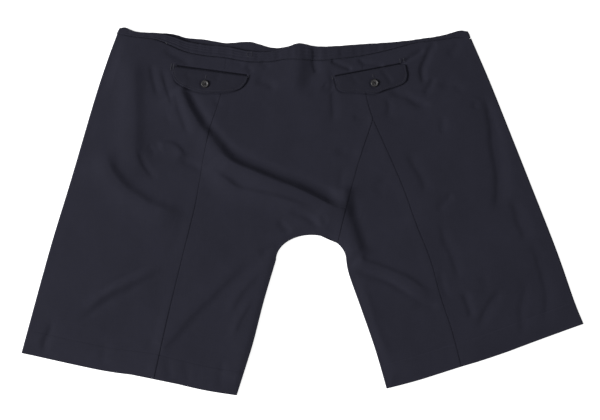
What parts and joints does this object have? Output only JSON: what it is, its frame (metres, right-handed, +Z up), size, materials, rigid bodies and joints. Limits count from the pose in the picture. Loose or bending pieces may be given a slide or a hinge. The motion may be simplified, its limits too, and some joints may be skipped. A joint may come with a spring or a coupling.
{
  "type": "wide cropped pants",
  "caption": "Wide cropped pants laid flat with the back up: wide legs, elastic waistband and buttoned pocket flaps across the back seams.",
  "frame": {"origin": "on the table, under the middle of the laid garment's plan box", "axes": "+X across the garment from its left edge to its right edge as seen from above, +Y towards the waist, +Z up from the table through the plies"},
  "size_m": [1, 0.6533, 0.0103],
  "materials": {
    "suiting": "matt fine plain weave, dark navy",
    "waistband": "matt fine plain weave with rows of stitching over elastic, dark navy",
    "button": "satin dark horn-like resin"
  },
  "bodies": {
    "root": {"front_left": "suiting", "front_right": "suiting", "back_seat": "suiting", "back_left_leg": "suiting", "back_right_leg": "suiting", "waistband": "waistband", "flap_left": "suiting", "flap_right": "suiting", "button_left": "button", "button_right": "button"}
  },
  "joints": []
}
